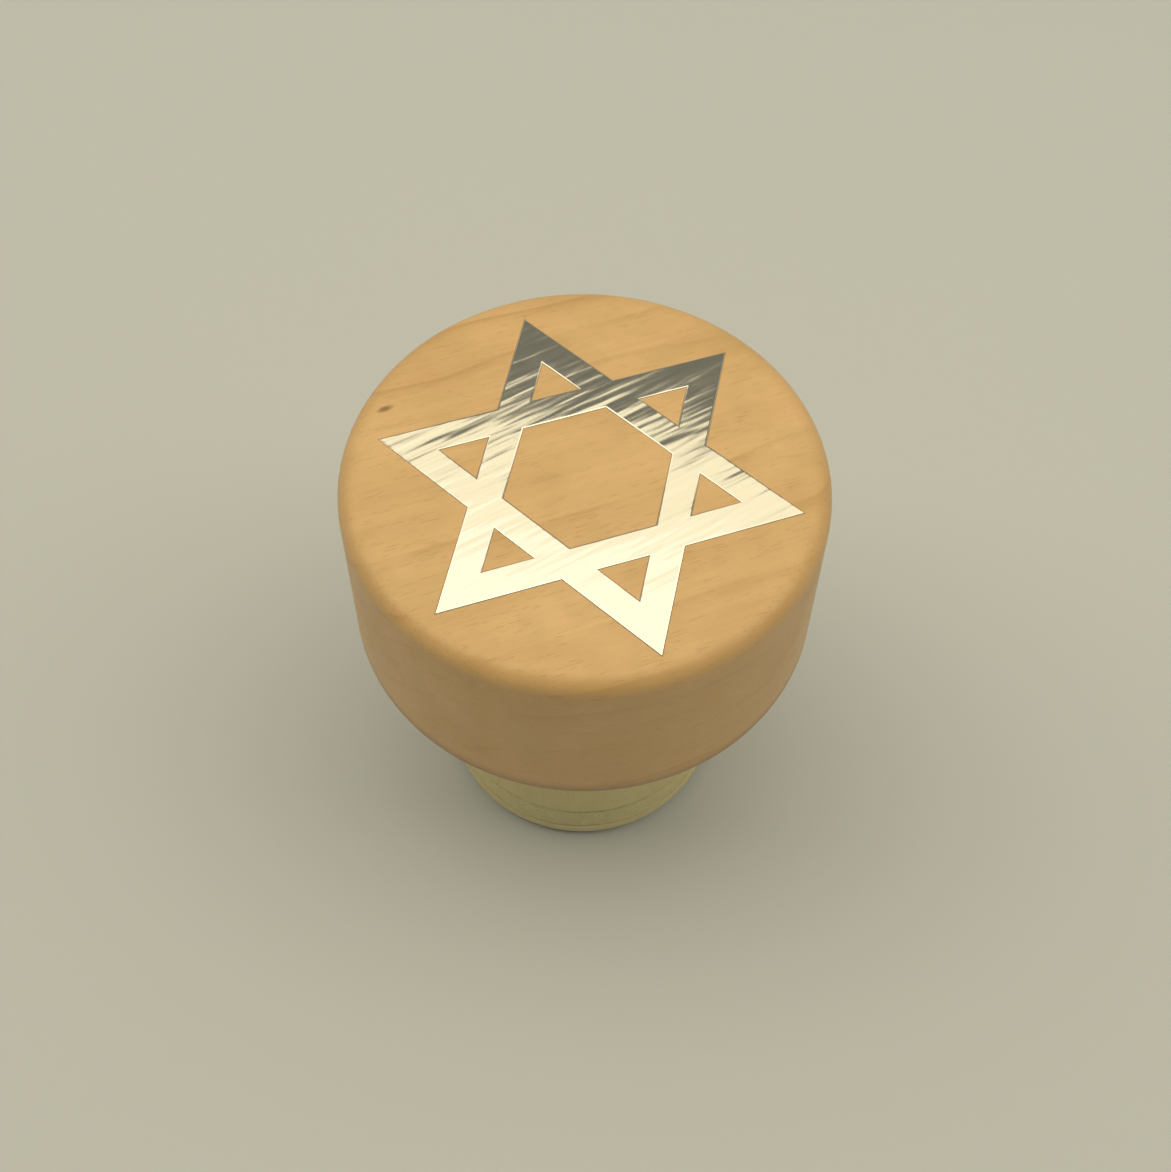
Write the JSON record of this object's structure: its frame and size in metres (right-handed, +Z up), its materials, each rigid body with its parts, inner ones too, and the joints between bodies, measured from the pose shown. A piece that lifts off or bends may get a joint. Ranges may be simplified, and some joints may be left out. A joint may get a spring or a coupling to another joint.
{
  "type": "rubber stamp",
  "caption": "Round wooden rubber stamp with a screw-on knob head, foil star index on top, pale stem, foam cushion and a star die underneath.",
  "frame": {"origin": "centre of the printing face of the die, on the surface that the stamp stands on", "axes": "+Z up along the stamp's turning axis towards the head; -Y is the front, the side nearest the viewer when the index star reads as placed"},
  "size_m": [0.0306, 0.0306, 0.0323],
  "materials": {
    "honey_wood": "satin",
    "silver_foil": "polished",
    "insert_brass": "satin",
    "washer_fibre": "matte",
    "stud_steel": "satin",
    "pale_wood": "matte",
    "adhesive_film": "satin",
    "cushion_foam": "matte",
    "die_rubber": "matte"
  },
  "bodies": {
    "stem": {"stem": "pale_wood", "hanger_stud": "stud_steel", "cushion_adhesive": "adhesive_film", "foam_cushion": "cushion_foam"},
    "washer": {"friction_washer": "washer_fibre"},
    "head": {"handle_head": "honey_wood", "threaded_insert": "insert_brass", "star_foil": "silver_foil"},
    "die": {"rubber_die": "die_rubber", "die_adhesive": "adhesive_film"}
  },
  "joints": [
    {"name": "handle_lift", "type": "slide", "parent": "stem", "child": "washer", "axis": [0, 0, 1], "range_m": [0, 0.007]},
    {"name": "handle_unscrew", "type": "hinge", "parent": "washer", "child": "head", "pos_m": [0, 0, 0.0191], "axis": [0, 0, 1], "range_deg": [0, 2521]},
    {"name": "cushion_press", "type": "slide", "parent": "stem", "child": "die", "axis": [0, 0, 1], "range_m": [0, 0.0008], "stiffness_N_per_m": 10000, "deforming": ["foam_cushion"]}
  ],
  "couplings": [
    {"joint": "handle_unscrew", "follows": "handle_lift", "rad_per_m": 6283.2}
  ]
}
